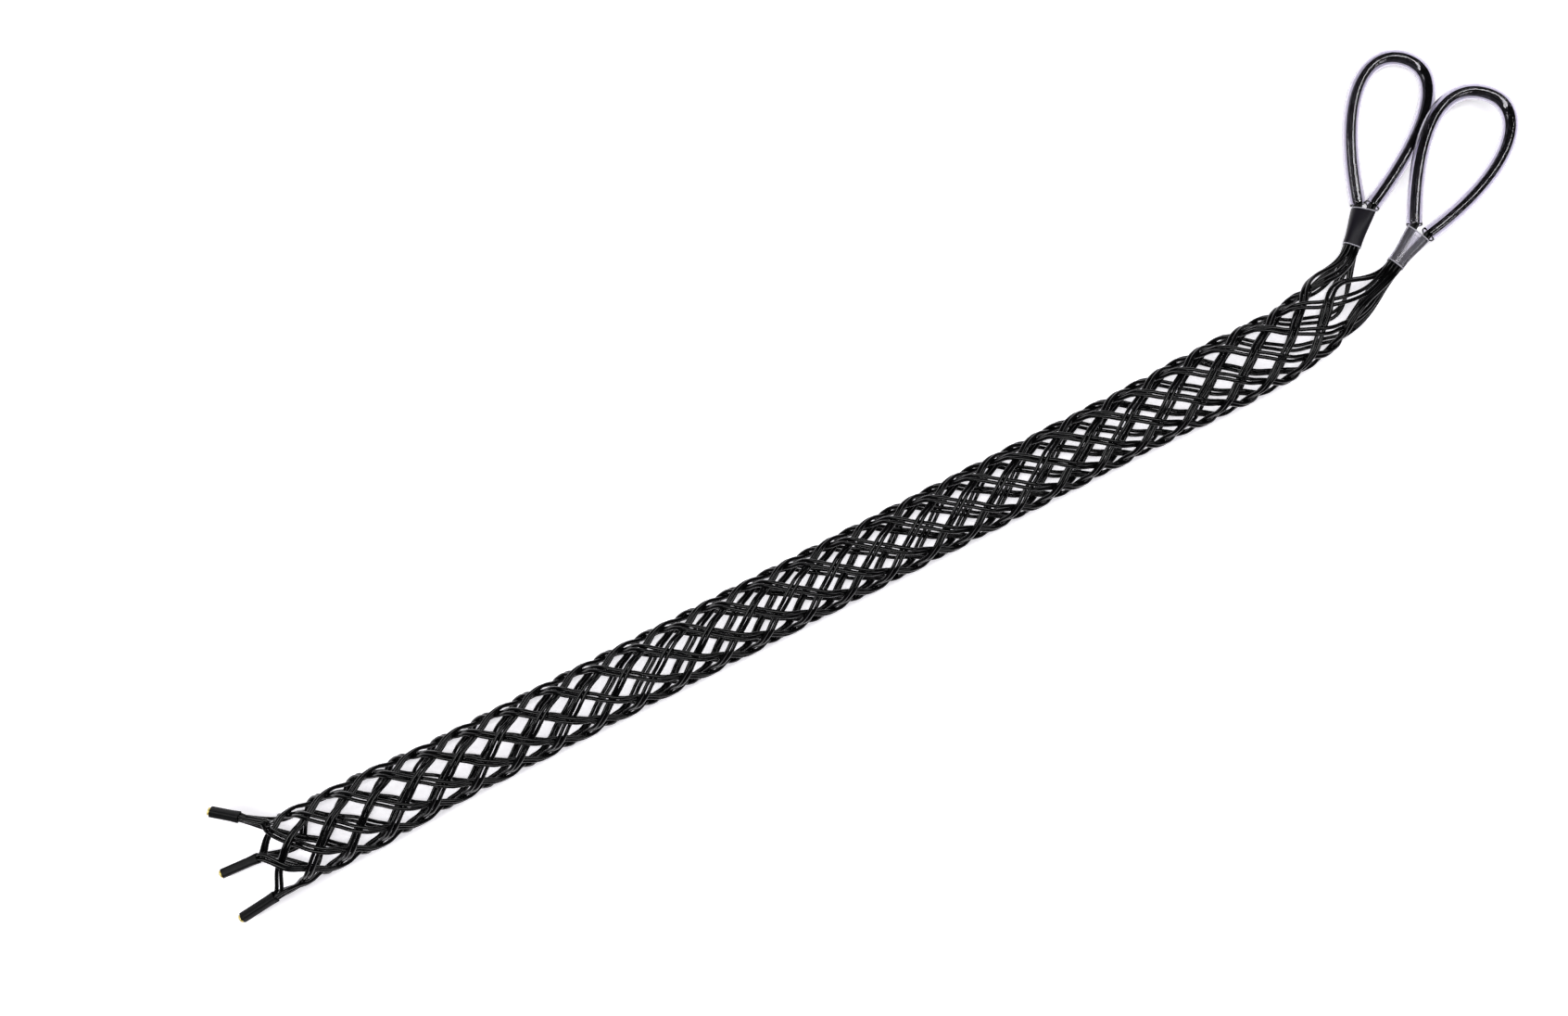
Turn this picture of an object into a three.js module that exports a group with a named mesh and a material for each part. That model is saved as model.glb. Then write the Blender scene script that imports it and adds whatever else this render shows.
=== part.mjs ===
// Double-eye cable pulling grip, lying at rest on its side.
// Twelve coated wire strands are braided into a closed mesh tube. At the mouth the strand ends are
// crimped in six tails. At the neck they gather in two sleeves and loop through two eye tubes.
// Millimetres, +Z up. The tube runs along +X, from the mouth to the neck and eyes.
import * as THREE from "three";

const { Vector2, Vector3 } = THREE;
const UP = new Vector3(0, 0, 1);

// Strands: a coated wire rope, stripped to the bare wires inside the ferrules
const STRAND_DIAMETER = 2.2;
const WIRE_DIAMETER = 1.2;
const STRAND_SIDES = 3;
const STRAND_CLEARANCE = 0.16;
const BUNDLE_PITCH = STRAND_DIAMETER + 0.2;
const WIRE_PITCH = WIRE_DIAMETER + 0.05;
// Closest approach of two crossing strands, in weave heights, as they straighten between crossings
const CROSSING_RISE = 1.42;

// Mesh tube: six ribbons of two strands wind each way and cross in rings
const RIBBONS = 6;
const RINGS = 52;
const RING_PITCH = 13.15;
const MESH_RADIUS = 17.9;
const MESH_START = 17.7;
const FIRST_CROSSING_ANGLE = THREE.MathUtils.degToRad(-10.6);
const RIBBON_PITCH = STRAND_DIAMETER;

// Mouth: the mesh flares, and its first rings are stretched and turned by the spread tails
const MOUTH_FLARE = 2.3;
const MOUTH_FLARE_START = 5;
const MOUTH_FLARE_END = 9;
const MOUTH_SLACK = 4.5;
const MOUTH_TWIST = THREE.MathUtils.degToRad(8);
const MOUTH_STEPS = 2;

// Neck: the mesh swells, bends towards +Y and fans out into the two sleeves
const NECK_SWELL = 1.4;
const NECK_SWELL_RING = 47;
const NECK_SWELL_RINGS = 5;
const NECK_OPENING = 1.0;
const NECK_OPENING_RINGS = 3;
const BEND_RADIUS = 127;
const BEND_BEFORE_END = 41;
const FAN_STEPS = 3;
// Springiness of the free stretches: how far a strand holds its direction, as a share of the distance
const FAN_HOLD = [0.4, 0.41];
const FORK_HOLD = [0.2, 0.4];
// Angle round the tube where the legs part into the near bundle, above, and the far one, below
const GROUP_START = THREE.MathUtils.degToRad(-40.6);

// Tails: a brass ferrule on four stripped wire ends, under a shrink sleeve
const FERRULE_LENGTH = 14;
const FERRULE_WALL = 0.4;
const FERRULE_RECESS = 0.3;
const STRIP_LENGTH = 1.5;
const TAIL_SLEEVE_WALL = 0.4;
const TAIL_SLEEVE_TAPER = 3;
const TAIL_SIDES = 8;

// Eyes: clear tubes bent to a teardrop over the strands of one bundle
const EYE_LENGTH = 89;
const EYE_APEX_HANDLE = 19.5;
const EYE_ARM_HANDLES = [77, 67];
const EYE_TUBE_WALL = 0.7;
const EYE_TUBE_SIDES = 8;
const EYE_STEPS = 12;
const ARM_SPACING = 9.3;
const ARM_GAP = 3;

// Neck sleeves
const NECK_SLEEVE_LENGTH = 21.5;
const NECK_SLEEVE_WALL = 0.6;
const NECK_SLEEVE_SIDES = 9;
const NECK_SPLIT = 0.3;
// Each strand is modelled in three lengths, two legs and a loop, that meet inside the sleeve
const LENGTHS_GAP = 0.3;

// Fit between a bore and what runs in it
const BORE_CLEARANCE = 0.15;

const STRAND_RADIUS = STRAND_DIAMETER / 2;
const STRAND_THICKNESS = STRAND_RADIUS * (1 + Math.cos(Math.PI / STRAND_SIDES));
const WEAVE_HEIGHT = (STRAND_THICKNESS + STRAND_CLEARANCE) / CROSSING_RISE;
const TURN = Math.PI / RIBBONS;
const LOOPS = RIBBONS;
const BUNDLE = 2 * LOOPS;

function smooth(x) {
  const t = THREE.MathUtils.clamp(x, 0, 1);
  return t * t * (3 - 2 * t);
}

// Circumradius of a polygon whose flats clear a circle of the given radius
function boreRadius(radius, sides) {
  return (radius + BORE_CLEARANCE) / Math.cos(Math.PI / sides);
}

function meshRadius(ring) {
  const span = MOUTH_FLARE_END - MOUTH_FLARE_START;
  const flare = MOUTH_FLARE * (1 - smooth((ring - MOUTH_FLARE_START) / span));
  const swell = NECK_SWELL * smooth(1 - Math.abs(ring - NECK_SWELL_RING) / NECK_SWELL_RINGS);
  return MESH_RADIUS + flare + swell;
}

// Heading of the tube, the direction to its right and its centre, at a length along it
const MESH_END = MESH_START + RINGS * RING_PITCH;
const BEND_START = MESH_END - BEND_BEFORE_END;

function tubeFrame(length) {
  const angle = Math.max(0, length - BEND_START) / BEND_RADIUS;
  const radius = meshRadius((length - MESH_START) / RING_PITCH);
  const height = radius + WEAVE_HEIGHT + STRAND_RADIUS;
  const forward = new Vector3(Math.cos(angle), Math.sin(angle), 0);
  const right = new Vector3(Math.sin(angle), -Math.cos(angle), 0);
  const x = Math.min(length, BEND_START) + BEND_RADIUS * Math.sin(angle);
  const y = BEND_RADIUS * (1 - Math.cos(angle));
  return { forward, right, angle, centre: new Vector3(x, y, height) };
}

// Outward direction at an angle round the tube, from straight up towards the right
function outwardAt(frame, angle) {
  return UP.clone().multiplyScalar(Math.cos(angle)).addScaledVector(frame.right, Math.sin(angle));
}

// One vertex of a mesh leg, where it passes over or under the ribbon that it crosses
function crossing(leg, ring) {
  const radius = meshRadius(ring);
  const lead = Math.atan2(radius * TURN, RING_PITCH);
  const opening = NECK_OPENING * smooth(1 - (RINGS - ring) / NECK_OPENING_RINGS);
  const offset = (leg.side * (RIBBON_PITCH + opening)) / 2;
  const ease = Math.exp(1 - ring);
  const shift = MOUTH_SLACK * ease - (leg.hand * offset) / (2 * Math.sin(lead));
  const frame = tubeFrame(MESH_START + RING_PITCH * ring + shift);
  const turned = (2 * leg.ribbon + leg.hand * ring) * TURN - MOUTH_TWIST * ease;
  const angle = FIRST_CROSSING_ANGLE + turned + offset / (2 * radius * Math.cos(lead));
  const over = ring % 2 === 0 ? -leg.hand : leg.hand;
  const normal = outwardAt(frame, angle);
  const point = frame.centre.clone().addScaledVector(normal, radius + over * WEAVE_HEIGHT);
  return { point, normal, angle };
}

// Points between two ends of a cubic curve that leaves and arrives in the given directions, and holds
// each of them for a share of the distance
function freeCurve(from, leaving, to, arriving, hold, steps) {
  const distance = from.distanceTo(to);
  const curve = new THREE.CubicBezierCurve3(
    from,
    from.clone().addScaledVector(leaving, distance * hold[0]),
    to.clone().addScaledVector(arriving, -distance * hold[1]),
    to,
  );
  return curve.getPoints(steps).slice(1, -1);
}

// Tails: angles round the tube in degrees, distances along it from the mesh start and out from its
// surface, for the inner end of the sleeve and for the tip
const TAILS = [
  { ribbon: 0, name: "tail_top", inner: [9, 1.5, -11.9], tip: [-12.9, 2.8, -14.5] },
  { ribbon: 1, name: "tail_right", inner: [5.2, 4.4, 51.1], tip: [-17.3, 6.8, 52.7] },
  { ribbon: 2, name: "tail_low_right", inner: [-8, 2.7, 120.3], tip: [-32.4, 5.5, 120.1] },
  { ribbon: 3, name: "tail_bottom", inner: [-10.1, -1.9, 194.5], tip: [-33.7, -1.1, 198.1] },
  { ribbon: 4, name: "tail_low_left", inner: [-5.6, 11.7, 251.6], tip: [-18.2, 21.9, 260.1] },
  { ribbon: 5, name: "tail_left", inner: [6.6, 12.8, 296], tip: [-6.5, 23.3, 291.6] },
];

function mouthPoint([along, out, degrees]) {
  const frame = tubeFrame(MESH_START);
  const normal = outwardAt(frame, THREE.MathUtils.degToRad(degrees));
  const point = frame.centre.clone().addScaledVector(normal, meshRadius(0) + out);
  return { point: point.addScaledVector(frame.forward, along), normal };
}

function tailFrame(tail) {
  const inner = mouthPoint(tail.inner);
  const tip = mouthPoint(tail.tip);
  const length = inner.point.distanceTo(tip.point);
  const axis = inner.point.clone().sub(tip.point).divideScalar(length);
  const normal = inner.normal.addScaledVector(axis, -inner.normal.dot(axis)).normalize();
  return { tip: tip.point, axis, normal, across: axis.clone().cross(normal), length };
}

// Stations of a leg in its tail: the two ribbons lie one on the other, each with its strands side by side
function tailPath(leg) {
  const frame = tailFrame(TAILS[leg.ribbon]);
  const place = (distance, pitch) =>
    frame.tip
      .clone()
      .addScaledVector(frame.axis, distance)
      .addScaledVector(frame.across, (leg.side * pitch) / 2)
      .addScaledVector(frame.normal, (leg.hand * pitch) / 2);
  const wire = WIRE_DIAMETER / 2;
  return [
    { point: place(FERRULE_RECESS, WIRE_PITCH), radius: wire },
    { point: place(FERRULE_LENGTH + FERRULE_RECESS, WIRE_PITCH), radius: wire },
    { point: place(FERRULE_LENGTH + STRIP_LENGTH, BUNDLE_PITCH), radius: STRAND_RADIUS },
    { point: place(frame.length, BUNDLE_PITCH), radius: STRAND_RADIUS, leaving: frame.axis },
  ];
}

// Eyes: the near one takes the legs from the top of the tube, the far one those from below. Of each,
// how far its sleeve is from the end of the mesh, to the right of the tube and up, how high the apex
// rests, how far the apex is to the right, and in degrees the heading of the sleeve, eye and arms and
// how far the right arm is rolled up over the left one
const EYES = [
  {
    name: "near",
    group: 0,
    fan: 42,
    out: 17.7,
    height: 19,
    rest: 9.2,
    shift: 6.8,
    heading: -11.3,
    lean: 12.3,
    arms: [23.6, -28.9],
    roll: 0,
  },
  {
    name: "far",
    group: 1,
    fan: 43.5,
    out: -7.8,
    height: 9,
    rest: 0,
    shift: -6.6,
    heading: 6.8,
    lean: -2.9,
    arms: [31.6, -15.6],
    roll: 45,
  },
];

// Radius of a ring of strands that lie side by side
function ringOf(count) {
  return BUNDLE_PITCH / (2 * Math.sin(Math.PI / count));
}
const NECK_RING_RADIUS = ringOf(BUNDLE);
const EYE_RING_RADIUS = ringOf(LOOPS);

function eyeFrame(eye) {
  const base = tubeFrame(MESH_END + eye.fan);
  const angle = base.angle + THREE.MathUtils.degToRad(eye.heading);
  const forward = new Vector3(Math.cos(angle), Math.sin(angle), 0);
  const right = new Vector3(Math.sin(angle), -Math.cos(angle), 0);
  const bottom = base.centre.clone().addScaledVector(base.right, eye.out);
  bottom.z = eye.height;
  const top = bottom.clone().addScaledVector(forward, NECK_SLEEVE_LENGTH);
  const roll = THREE.MathUtils.degToRad(eye.roll);
  const parting = right.clone().multiplyScalar(Math.cos(roll)).addScaledVector(UP, Math.sin(roll));
  return { angle, forward, right, parting, bottom, top };
}

// Centre line of an eye tube: from one arm, round the apex, to the other arm
const EYE_BORE = boreRadius(EYE_RING_RADIUS + STRAND_RADIUS, EYE_TUBE_SIDES);
const EYE_TUBE_RADIUS = EYE_BORE + EYE_TUBE_WALL;

function eyeCurve(eye) {
  const frame = eyeFrame(eye);
  const lean = frame.angle + THREE.MathUtils.degToRad(eye.lean);
  const along = new Vector3(Math.cos(lean), Math.sin(lean), 0);
  const across = new Vector3(Math.sin(lean), -Math.cos(lean), 0);
  const fork = frame.top.clone().addScaledVector(frame.forward, ARM_GAP);
  const apex = fork.clone().addScaledVector(along, EYE_LENGTH).addScaledVector(across, eye.shift);
  apex.z = EYE_TUBE_RADIUS + eye.rest;
  const curve = new THREE.CurvePath();
  [-1, 1].forEach((side, i) => {
    const arm = fork.clone().addScaledVector(frame.parting, (side * ARM_SPACING) / 2);
    const angle = lean + THREE.MathUtils.degToRad(eye.arms[i]);
    const leaving = new Vector3(Math.cos(angle), Math.sin(angle), 0);
    const armHandle = arm.clone().addScaledVector(leaving, EYE_ARM_HANDLES[i]);
    armHandle.z = (arm.z + apex.z) / 2;
    const apexHandle = apex.clone().addScaledVector(across, side * EYE_APEX_HANDLE);
    const points = [arm, armHandle, apexHandle, apex];
    if (side > 0) points.reverse();
    curve.add(new THREE.CubicBezierCurve3(...points));
  });
  return curve;
}

// Angles of a half ring that closes up into a whole ring of its own, from its middle outwards
function closedAngle(middle, index, count) {
  return middle + (2 * Math.PI * (index - (count - 1) / 2)) / count;
}

// Place of a leg in the neck sleeve: on one ring at the bottom, parting into two towards the top
function neckPlace(eye, leg, distance) {
  const frame = eyeFrame(eye);
  const split = (NECK_SPLIT * distance) / NECK_SLEEVE_LENGTH;
  const half = leg.half === 0 ? -1 : 1;
  const whole = closedAngle(GROUP_START + (eye.group + 0.5) * Math.PI, leg.slot, BUNDLE);
  const parted = closedAngle((half * Math.PI) / 2, leg.place, LOOPS);
  const onRing = (radius, angle) =>
    frame.right.clone().multiplyScalar(radius * Math.sin(angle))
      .addScaledVector(UP, radius * Math.cos(angle));
  const together = onRing(NECK_RING_RADIUS, whole);
  const apart = onRing(EYE_RING_RADIUS, parted).addScaledVector(frame.parting, (half * ARM_SPACING) / 2);
  return frame.bottom.clone().addScaledVector(frame.forward, distance).add(together.lerp(apart, split));
}

// Stations of one strand inside an eye tube, on a ring round its centre line
function eyePath(eye, place) {
  const curve = eyeCurve(eye);
  const angle = closedAngle(0, place, LOOPS);
  return curve.getSpacedPoints(EYE_STEPS).map((centre, i) => {
    const tangent = curve.getTangentAt(i / EYE_STEPS);
    const outward = UP.clone().cross(tangent).normalize();
    const rise = tangent.clone().cross(outward);
    return centre
      .clone()
      .addScaledVector(outward, EYE_RING_RADIUS * Math.cos(angle))
      .addScaledVector(rise, EYE_RING_RADIUS * Math.sin(angle));
  });
}

// Legs: every strand has two of them in the mesh, wound by hand +1 or -1
const legs = [];
for (let ribbon = 0; ribbon < RIBBONS; ribbon++) {
  for (const hand of [1, -1]) {
    for (const side of [-1, 1]) legs.push({ ribbon, hand, side });
  }
}

// Mesh part of a leg, from its tail to the last ring of crossings
function meshPath(leg) {
  const path = tailPath(leg);
  const first = crossing(leg, 1);
  const second = crossing(leg, 2);
  const last = path.at(-1);
  const arriving = second.point.clone().sub(first.point).normalize();
  const bridge = freeCurve(last.point, last.leaving, first.point, arriving, FORK_HOLD, MOUTH_STEPS);
  for (const point of bridge) path.push({ point });
  for (let ring = 1; ring <= RINGS; ring++) path.push(crossing(leg, ring));
  return path;
}

// Legs sorted into the two neck bundles by where they leave the last ring, then into the left and the
// right half of each bundle, which go up and down the two arms of the eye
const groups = [[], []];
for (const leg of legs) {
  const leaving = crossing(leg, RINGS).angle + (leg.hand * TURN) / 2;
  leg.position = THREE.MathUtils.euclideanModulo(leaving - GROUP_START, 2 * Math.PI);
  groups[leg.position < Math.PI ? 0 : 1].push(leg);
}
for (const eye of EYES) {
  const group = groups[eye.group];
  group.sort((a, b) => a.position - b.position);
  group.forEach((leg, slot) => {
    const angle = closedAngle(GROUP_START + (eye.group + 0.5) * Math.PI, slot, BUNDLE);
    const fromBelow = THREE.MathUtils.euclideanModulo(angle - Math.PI, 2 * Math.PI);
    leg.slot = slot;
    leg.half = fromBelow < Math.PI ? 0 : 1;
    leg.turned = fromBelow;
  });
  for (const half of [0, 1]) {
    const side = group.filter((leg) => leg.half === half).sort((a, b) => a.turned - b.turned);
    side.forEach((leg, place) => (leg.place = place));
  }
}

// Fan and sleeve part of a leg, from the last ring to the middle of the sleeve
function neckPath(leg, eye) {
  const end = crossing(leg, RINGS).point;
  const before = crossing(leg, RINGS - 1).point;
  const bottom = neckPlace(eye, leg, 0);
  const middle = neckPlace(eye, leg, (NECK_SLEEVE_LENGTH - LENGTHS_GAP) / 2);
  const leaving = end.clone().sub(before).normalize();
  const fan = freeCurve(end, leaving, bottom, eyeFrame(eye).forward, FAN_HOLD, FAN_STEPS);
  return [...fan, bottom, middle].map((point) => ({ point }));
}

// Part of a loop in the sleeve, from its middle to its top
function loopEnd(leg, eye) {
  const middle = neckPlace(eye, leg, (NECK_SLEEVE_LENGTH + LENGTHS_GAP) / 2);
  return [middle, neckPlace(eye, leg, NECK_SLEEVE_LENGTH)];
}

// Section normals: outward from the tube in the mesh, carried on with the least turn elsewhere, and
// starting from straight up on a loop
function sectionNormals(path, tangents) {
  const square = (normal, i) => {
    const along = normal.dot(tangents[i]);
    return normal.clone().addScaledVector(tangents[i], -along).normalize();
  };
  const normals = path.map((station, i) => (station.normal ? square(station.normal, i) : null));
  let first = normals.findIndex((normal) => normal);
  if (first < 0) {
    first = 0;
    normals[0] = square(UP, 0);
  }
  for (let i = first - 1; i >= 0; i--) normals[i] = square(normals[i + 1], i);
  for (let i = first + 1; i < path.length; i++) normals[i] ??= square(normals[i - 1], i);
  return normals;
}

// Closed body of a polygon swept through the stations of a strand, with flat ends
function strandGeometry(path) {
  const tangents = path.map((station, i) => {
    const back = station.point.clone().sub(path[Math.max(i - 1, 0)].point).normalize();
    const ahead = path[Math.min(i + 1, path.length - 1)].point.clone().sub(station.point).normalize();
    return back.add(ahead).normalize();
  });
  const normals = sectionNormals(path, tangents);
  const positions = [];
  path.forEach((station, i) => {
    const binormal = tangents[i].clone().cross(normals[i]);
    for (let k = 0; k < STRAND_SIDES; k++) {
      const angle = (2 * Math.PI * k) / STRAND_SIDES;
      const radius = station.radius ?? STRAND_RADIUS;
      const corner = station.point
        .clone()
        .addScaledVector(normals[i], radius * Math.cos(angle))
        .addScaledVector(binormal, radius * Math.sin(angle));
      positions.push(corner.x, corner.y, corner.z);
    }
  });
  const indices = [];
  for (let i = 0; i + 1 < path.length; i++) {
    for (let k = 0; k < STRAND_SIDES; k++) {
      const a = i * STRAND_SIDES + k;
      const b = i * STRAND_SIDES + ((k + 1) % STRAND_SIDES);
      indices.push(a, b, a + STRAND_SIDES, b, b + STRAND_SIDES, a + STRAND_SIDES);
    }
  }
  const end = (path.length - 1) * STRAND_SIDES;
  for (let k = 1; k + 1 < STRAND_SIDES; k++) {
    indices.push(0, k + 1, k);
    indices.push(end, end + k, end + k + 1);
  }
  const geometry = new THREE.BufferGeometry();
  geometry.setAttribute("position", new THREE.Float32BufferAttribute(positions, 3));
  geometry.setIndex(indices);
  geometry.computeVertexNormals();
  return geometry;
}

// Closed ring turned round the +Y axis of its profile
function ringGeometry(profile, sides) {
  const points = profile.map(([radius, y]) => new Vector2(radius, y));
  points.push(points[0].clone());
  return new THREE.LatheGeometry(points, sides);
}

const coating = { color: 0x141414, roughness: 0.3, metalness: 0 };
const brass = { color: 0xc9a24a, roughness: 0.35, metalness: 1 };
const shrink = { color: 0x1b1b1d, roughness: 0.65, metalness: 0 };
const clear = { color: 0xdfe3e6, roughness: 0.15, metalness: 0, transparent: true, opacity: 0.4 };
const smoked = { color: 0x34343a, roughness: 0.35, metalness: 0 };

const grip = new THREE.Group();
grip.name = "cable_pulling_grip";

function addPiece(name, geometry, look) {
  const mesh = new THREE.Mesh(geometry, new THREE.MeshStandardMaterial(look));
  mesh.name = name;
  grip.add(mesh);
  return mesh;
}

function standAlong(mesh, origin, axis) {
  mesh.position.copy(origin);
  mesh.quaternion.setFromUnitVectors(new Vector3(0, 1, 0), axis);
}

// Strands: one goes up in the left half of a bundle and comes back in the right half, at the mirrored place
EYES.forEach((eye) => {
  for (let place = 0; place < LOOPS; place++) {
    const going = groups[eye.group].find((leg) => leg.half === 0 && leg.place === place);
    const coming = groups[eye.group].find((leg) => leg.half === 1 && leg.place === LOOPS - 1 - place);
    const loop = [...loopEnd(going, eye), ...eyePath(eye, place), ...loopEnd(coming, eye).reverse()];
    const name = `strand_${eye.name}_${place + 1}`;
    addPiece(`${name}_left`, strandGeometry([...meshPath(going), ...neckPath(going, eye)]), coating);
    addPiece(`${name}_loop`, strandGeometry(loop.map((point) => ({ point }))), coating);
    addPiece(`${name}_right`, strandGeometry([...meshPath(coming), ...neckPath(coming, eye)]), coating);
  }
});

// Eye tubes and neck sleeves
EYES.forEach((eye) => {
  const section = new THREE.Shape(polygon(EYE_TUBE_RADIUS, EYE_TUBE_SIDES));
  section.holes.push(new THREE.Path(polygon(EYE_BORE, EYE_TUBE_SIDES)));
  const tube = new THREE.ExtrudeGeometry(section, {
    steps: EYE_STEPS,
    bevelEnabled: false,
    extrudePath: eyeCurve(eye),
  });
  addPiece(`eye_tube_${eye.name}`, tube, clear);

  const frame = eyeFrame(eye);
  const low = boreRadius(NECK_RING_RADIUS + STRAND_RADIUS, NECK_SLEEVE_SIDES);
  const reach = THREE.MathUtils.lerp(NECK_RING_RADIUS, ARM_SPACING / 2 + EYE_RING_RADIUS, NECK_SPLIT);
  const high = boreRadius(reach + STRAND_RADIUS, NECK_SLEEVE_SIDES);
  const profile = [
    [low, 0],
    [low + NECK_SLEEVE_WALL, 0],
    [high + NECK_SLEEVE_WALL, NECK_SLEEVE_LENGTH],
    [high, NECK_SLEEVE_LENGTH],
  ];
  const sleeve = addPiece(
    `neck_sleeve_${eye.name}`,
    ringGeometry(profile, NECK_SLEEVE_SIDES),
    eye.name === "near" ? clear : smoked,
  );
  standAlong(sleeve, frame.bottom, frame.forward);
});

function polygon(radius, sides) {
  return Array.from({ length: sides }, (_, k) => {
    const angle = (2 * Math.PI * k) / sides;
    return new Vector2(radius * Math.cos(angle), radius * Math.sin(angle));
  });
}

// Tails
const wireBundle = WIRE_PITCH / Math.SQRT2 + WIRE_DIAMETER / 2;
const strandBundle = BUNDLE_PITCH / Math.SQRT2 + STRAND_RADIUS;
const ferruleBore = boreRadius(wireBundle, TAIL_SIDES);
const ferruleRadius = ferruleBore + FERRULE_WALL;
const sleeveTipBore = boreRadius(ferruleRadius, TAIL_SIDES);
const sleeveInnerBore = boreRadius(strandBundle, TAIL_SIDES);

TAILS.forEach((tail) => {
  const frame = tailFrame(tail);
  const ferrule = ringGeometry(
    [
      [ferruleBore, 0],
      [ferruleRadius, 0],
      [ferruleRadius, FERRULE_LENGTH],
      [ferruleBore, FERRULE_LENGTH],
    ],
    TAIL_SIDES,
  );
  standAlong(addPiece(`${tail.name}_ferrule`, ferrule, brass), frame.tip, frame.axis);

  const taperEnd = FERRULE_LENGTH + STRIP_LENGTH;
  const taperStart = taperEnd - TAIL_SLEEVE_TAPER;
  const sleeve = ringGeometry(
    [
      [sleeveTipBore, FERRULE_RECESS],
      [sleeveTipBore + TAIL_SLEEVE_WALL, FERRULE_RECESS],
      [sleeveTipBore + TAIL_SLEEVE_WALL, taperStart],
      [sleeveInnerBore + TAIL_SLEEVE_WALL, taperEnd],
      [sleeveInnerBore + TAIL_SLEEVE_WALL, frame.length],
      [sleeveInnerBore, frame.length],
      [sleeveInnerBore, taperEnd],
      [sleeveTipBore, taperStart],
    ],
    TAIL_SIDES,
  );
  standAlong(addPiece(`${tail.name}_sleeve`, sleeve, shrink), frame.tip, frame.axis);
});

// Origin under the middle of the whole grip, on the surface that it lies on
const box = new THREE.Box3().setFromObject(grip, true);
const middle = box.getCenter(new Vector3());
grip.position.set(-middle.x, -middle.y, -box.min.z);

export default grip;
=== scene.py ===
# %% [markdown]
# # Double-eye cable pulling grip
#
# The real object is a long stocking braided from plastic-coated wire rope. It is pushed over the end of
# a cable, and grips it when the two eyes are pulled. This script dresses them with round glossy
# strands, clear tubing, shrink sleeves and brass ferrules, and leaves their places as they are.

import bpy
import numpy as np
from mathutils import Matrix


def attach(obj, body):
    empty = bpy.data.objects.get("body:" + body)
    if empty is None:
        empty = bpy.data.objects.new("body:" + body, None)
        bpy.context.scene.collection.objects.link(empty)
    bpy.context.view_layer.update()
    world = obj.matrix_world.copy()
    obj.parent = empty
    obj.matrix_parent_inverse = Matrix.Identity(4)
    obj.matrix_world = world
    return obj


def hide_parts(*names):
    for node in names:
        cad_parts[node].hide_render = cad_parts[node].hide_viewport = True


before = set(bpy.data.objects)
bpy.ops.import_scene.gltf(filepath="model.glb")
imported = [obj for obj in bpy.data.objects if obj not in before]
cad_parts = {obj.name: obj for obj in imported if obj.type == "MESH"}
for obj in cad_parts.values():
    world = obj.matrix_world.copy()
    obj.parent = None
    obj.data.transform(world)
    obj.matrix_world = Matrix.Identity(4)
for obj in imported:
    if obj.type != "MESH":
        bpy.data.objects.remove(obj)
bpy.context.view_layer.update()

# %% [markdown]
# ## Camera
#
# The photograph looks straight down on the grip from about 0.9 m, far enough right of the middle that
# the mouth is seen from over the neck. A camera that stays level over the table keeps the pitch of the
# mesh even along the picture, so the picture is framed with a sideways lens shift and not with a tilt.

# %% The camera over the table
MM = 0.001
# From the drawing's origin, on the axis of the tube, to the middle of the box, in millimetres
SHIFT = np.array([-417.633, -50.587, 0.675])
IMAGE_WIDTH = 1692
FOCAL_PIXELS = 1721.9
SENSOR_MM = 36.0
PRINCIPAL_PIXEL = 1032.7
TUBE_SLOPE = np.radians(26.97)
CAMERA_OVER = np.array([461.8, 1.6, 932.2])

camera_data = bpy.data.cameras.new("camera")
camera_data.sensor_width = SENSOR_MM
camera_data.lens = FOCAL_PIXELS / IMAGE_WIDTH * SENSOR_MM
camera_data.shift_x = -(PRINCIPAL_PIXEL - IMAGE_WIDTH / 2) / IMAGE_WIDTH
camera = bpy.data.objects.new("camera", camera_data)
bpy.context.scene.collection.objects.link(camera)
camera.location = (CAMERA_OVER + SHIFT) * MM
camera.rotation_euler = (0, 0, -TUBE_SLOPE)
bpy.context.scene.camera = camera
print("lens mm:", round(camera_data.lens, 2), "height m:", round(camera.location.z, 3))

# %% [markdown]
# ## Sizes of the braid
#
# Twelve strands lie in twos. Six such ribbons wind each way round the tube, and a ribbon of one hand
# crosses one of the other hand at every ring of crossings, over at one and under at the next.

# %% Named sizes, in millimetres
STRAND_RADIUS = 1.1
WIRE_RADIUS = 0.6
WIRE_PITCH = 1.25
RIBBONS = 6
RINGS = 52
RING_PITCH = 13.15
MESH_RADIUS = 17.9
MESH_START = 17.7
FIRST_CROSSING_ANGLE = np.radians(-10.6)
RIBBON_PITCH = 2.2
WEAVE_HEIGHT = 1.13
# Height of the middle of the tube over its own radius, so that it lies on the floor
AXIS_RISE = 1.275 + 1.1
MOUTH_FLARE, FLARE_START, FLARE_END = 2.3, 5, 9
MOUTH_SLACK, MOUTH_TWIST = 4.5, np.radians(8)
NECK_SWELL, SWELL_RING, SWELL_RINGS = 1.4, 47, 5
NECK_OPENING, OPENING_RINGS = 1.0, 3
BEND_RADIUS, BEND_BEFORE_END = 127, 41
TURN = np.pi / RIBBONS
MESH_END = MESH_START + RINGS * RING_PITCH
UP = np.array([0.0, 0.0, 1.0])


def smooth(x):
    """Zero up to 0, one from 1 on, and 3x^2 - 2x^3 between."""
    t = np.clip(x, 0, 1)
    return t * t * (3 - 2 * t)


def unit(v):
    """Each row of v divided by its own length."""
    return v / np.linalg.norm(v, axis=-1, keepdims=True)


def mesh_radius(ring):
    """Radius of the tube at a ring: wider at the mouth, and swollen a little before the neck."""
    flare = MOUTH_FLARE * (1 - smooth((ring - FLARE_START) / (FLARE_END - FLARE_START)))
    swell = NECK_SWELL * smooth(1 - np.abs(ring - SWELL_RING) / SWELL_RINGS)
    return MESH_RADIUS + flare + swell


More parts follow.
